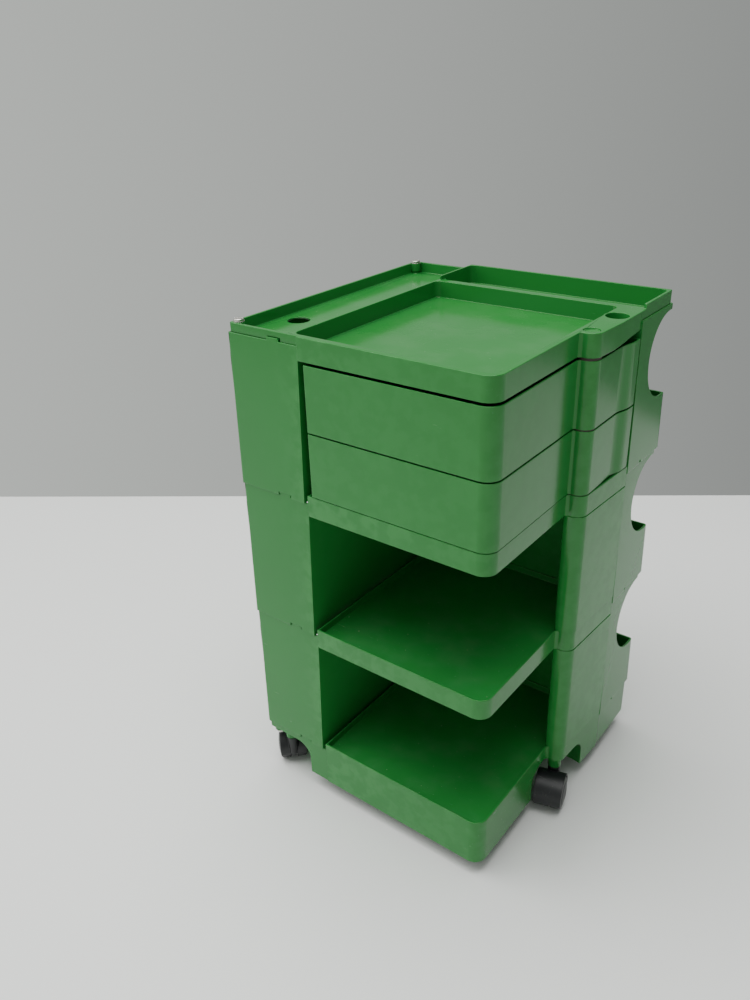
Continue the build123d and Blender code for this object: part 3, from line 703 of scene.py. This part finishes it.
@dataclass
class Caster:
    """A twin-wheel swivel caster: hood, two domed wheels, stem and axle."""

    name: str
    radius: float = 25.0
    near: float = 5.0
    width: float = 16.0
    crown: float = 3.0
    hub: float = 7.0
    ring: float = 18.0
    bore: float = 3.05
    rounding: float = 3.4
    cavity: float = 3.5

    def build(self, finishes: Finishes) -> None:
        """Builds the caster's pieces.

        Args:
            finishes: the trolley's finishes.
        """
        Moulding(f"caster_{self.name}_hood", Slot.HOOD, 0.6).build(finishes)
        for part in ("stem", "axle"):
            Moulding(f"caster_{self.name}_{part}", Slot.STEEL, 0.3).build(finishes)
        for side in "ab":
            self.wheel(side, finishes)

    def wheel_profile(self) -> Profile:
        """Works out the section of a wheel.

        Returns:
            The outline from the axis along the inner face, round the tread and back along the domed face.
        """
        near, far, tread = self.near, self.near + self.width, self.radius
        floor, reach = near + self.cavity, tread - self.rounding
        inside = [
            (self.bore, near + 0.2), (5.5, near), (6.5, near), (7.2, floor), (19.8, floor), (20.6, near),
            (tread - 1.2, near), (tread - 0.35, near + 0.35), (tread, near + 1.2),
        ]
        rounded = [
            (reach + self.rounding * math.cos(angle), far - self.rounding + self.rounding * math.sin(angle))
            for angle in (math.radians(step * 15) for step in range(0, 7))
        ]

        def dome(r: float) -> float:
            """Height of the domed face at the radius r."""
            return far + self.crown * (1 - (r / reach) ** 2)

        face = [
            (self.ring + 0.9, dome(self.ring + 0.9)), (self.ring + 0.5, dome(self.ring) - 0.9),
            (self.ring - 0.5, dome(self.ring) - 0.9), (self.ring - 0.9, dome(self.ring - 0.9)),
        ]
        face += [(r, dome(r)) for r in (15.0, 12.5, 10.0)]
        face += [
            (self.hub + 0.8, dome(self.hub + 0.8)), (self.hub + 0.5, dome(self.hub) - 0.7),
            (self.hub, dome(self.hub) - 0.7), (self.hub - 0.4, dome(self.hub) - 0.05),
            (3.4, dome(3.4)), (2.4, dome(2.4) - 0.8), (0.0, dome(0.0) - 0.9),
        ]
        inner_end = [(0.0, far - 1.5), (self.bore, far - 1.5)]
        return inner_end + inside + rounded + face

    def wheel(self, side: str, finishes: Finishes) -> None:
        """Lathes a wheel and sets it on its axle.

        Args:
            side: "a" or "b", the side of the hood's web.
            finishes: the trolley's finishes.
        """
        node = f"caster_{self.name}_wheel_{side}"
        low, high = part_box(node)
        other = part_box(f"caster_{self.name}_wheel_{'b' if side == 'a' else 'a'}")
        middle, facing = (low + high) / 2, (other[0] + other[1]) / 2
        outward = (middle - facing).normalized()
        centre = (middle + facing) / 2
        shell = lathe(self.wheel_profile(), 72)
        turn = Vector((0, 0, 1)).rotation_difference(outward).to_matrix().to_4x4()
        bmesh.ops.transform(shell, matrix=Matrix.Translation(centre) @ turn, verts=shell.verts)
        piece = finish_mesh(f"{node}_turned", shell, 50.0)
        finishes.dress(piece, Slot.WHEEL)
        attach(piece, body_of(node))
        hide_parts(node)
        log.info("%s: %d faces", piece.name, len(piece.data.polygons))


# --- stage --------------------------------------------------------------------------------------------
@dataclass
class Studio:
    """A pale floor that ends before a grey room, the soft lights and the camera."""

    floor_colour: Colour = (0.90, 0.91, 0.89)
    room_left: Colour = (0.66, 0.69, 0.655)
    room_right: Colour = (0.20, 0.21, 0.205)
    room_span: float = 0.7
    far_edge_m: float = 0.894
    far_heading_deg: float = 34.3
    reach_m: float = 14.0
    camera_place: tuple[float, float, float] = (0.5913, -0.9348, 1.0207)
    camera_heading_deg: float = 38.257
    camera_pitch_deg: float = 27.249
    camera_roll_deg: float = -1.905
    camera_lens_mm: float = 31.14

    def build(self) -> None:
        """Sets the floor, the light and the camera."""
        self.floor()
        self.light()
        self.camera()

    def plain(self, name: str, colour: Colour) -> bpy.types.Material:
        """Mixes a matt stage paint with a faint cloud in it.

        Args:
            name: name of the paint.
            colour: its lighter shade.

        Returns:
            The paint.
        """
        sheet = MaterialSheet(name)
        noise = sheet.tree.nodes.new("ShaderNodeTexNoise")
        noise.inputs["Scale"].default_value = 3.0
        darker = tuple(0.94 * part for part in colour)
        sheet.feed("Base Color", sheet.mix(noise.outputs["Fac"], colour, darker))
        sheet.shader.inputs["Roughness"].default_value = 0.55
        return sheet.material

    def floor(self) -> None:
        """Lays the pale floor up to its far edge."""
        sheet = bmesh.new()
        bmesh.ops.create_grid(sheet, x_segments=1, y_segments=1, size=1.0)
        depth = self.far_edge_m + self.reach_m
        bmesh.ops.scale(sheet, vec=(self.reach_m, depth / 2, 1), verts=sheet.verts)
        bmesh.ops.translate(sheet, vec=(0, self.far_edge_m - depth / 2, 0), verts=sheet.verts)
        turn = Matrix.Rotation(math.radians(self.far_heading_deg), 4, "Z")
        bmesh.ops.transform(sheet, matrix=turn, verts=sheet.verts)
        mesh = bpy.data.meshes.new("floor")
        sheet.to_mesh(mesh)
        sheet.free()
        mesh.materials.append(self.plain("floor_paint", self.floor_colour))
        floor = bpy.data.objects.new("floor", mesh)
        bpy.context.scene.collection.objects.link(floor)

    def light(self) -> None:
        """Hangs the soft lights and tints the room."""
        world = bpy.data.worlds.new("studio_room")
        world.use_nodes = True
        background = world.node_tree.nodes["Background"]
        across = Matrix.Rotation(math.radians(self.camera_heading_deg), 3, "Z") @ Vector((1, 0, 0))
        nodes, links = world.node_tree.nodes, world.node_tree.links
        direction = nodes.new("ShaderNodeTexCoord")
        reach = nodes.new("ShaderNodeVectorMath")
        reach.operation = "DOT_PRODUCT"
        reach.inputs[1].default_value = across
        share = nodes.new("ShaderNodeMapRange")
        share.inputs["From Min"].default_value = -self.room_span
        share.inputs["From Max"].default_value = self.room_span
        paint = nodes.new("ShaderNodeMix")
        paint.data_type = "RGBA"
        paint.inputs[MIX_FROM].default_value = (*self.room_left, 1)
        paint.inputs[MIX_TO].default_value = (*self.room_right, 1)
        links.new(direction.outputs["Generated"], reach.inputs[0])
        links.new(reach.outputs["Value"], share.inputs["Value"])
        links.new(share.outputs["Result"], paint.inputs["Factor"])
        links.new(paint.outputs[MIX_RESULT], background.inputs["Color"])
        bpy.context.scene.world = world
        for name, place, size, power in (
            ("overhead", (-0.3, -0.3, 3.4), 2.8, 140.0),
            ("front_left", (-2.2, -1.5, 1.9), 1.6, 26.0),
        ):
            lamp = bpy.data.lights.new(name, "AREA")
            lamp.shape = "SQUARE"
            lamp.size = size
            lamp.energy = power
            holder = bpy.data.objects.new(name, lamp)
            holder.location = place
            aim = Vector((0, 0, 0.35)) - Vector(place)
            holder.rotation_euler = aim.to_track_quat("-Z", "Y").to_euler()
            bpy.context.scene.collection.objects.link(holder)

    def camera(self) -> None:
        """Stands the camera at the viewing angle."""
        lens = bpy.data.cameras.new("view")
        lens.lens = self.camera_lens_mm
        lens.clip_start = 0.05
        camera = bpy.data.objects.new("view", lens)
        aim = Euler((math.radians(90 - self.camera_pitch_deg), 0, math.radians(self.camera_heading_deg)))
        roll = Matrix.Rotation(math.radians(self.camera_roll_deg), 4, "Z")
        camera.matrix_world = Matrix.Translation(self.camera_place) @ aim.to_matrix().to_4x4() @ roll
        bpy.context.scene.collection.objects.link(camera)
        bpy.context.scene.camera = camera


def main() -> None:
    """Builds the trolley, piece by piece, on its stage."""
    logging.basicConfig(level=logging.INFO, format="%(message)s")
    finishes = Finishes()
    Stack().build(finishes)
    Rods().build(finishes)
    for name in ("front_left", "rear_left", "right", "front_right"):
        Caster(name).build(finishes)
    Studio().build()


if __name__ == "__main__":
    main()
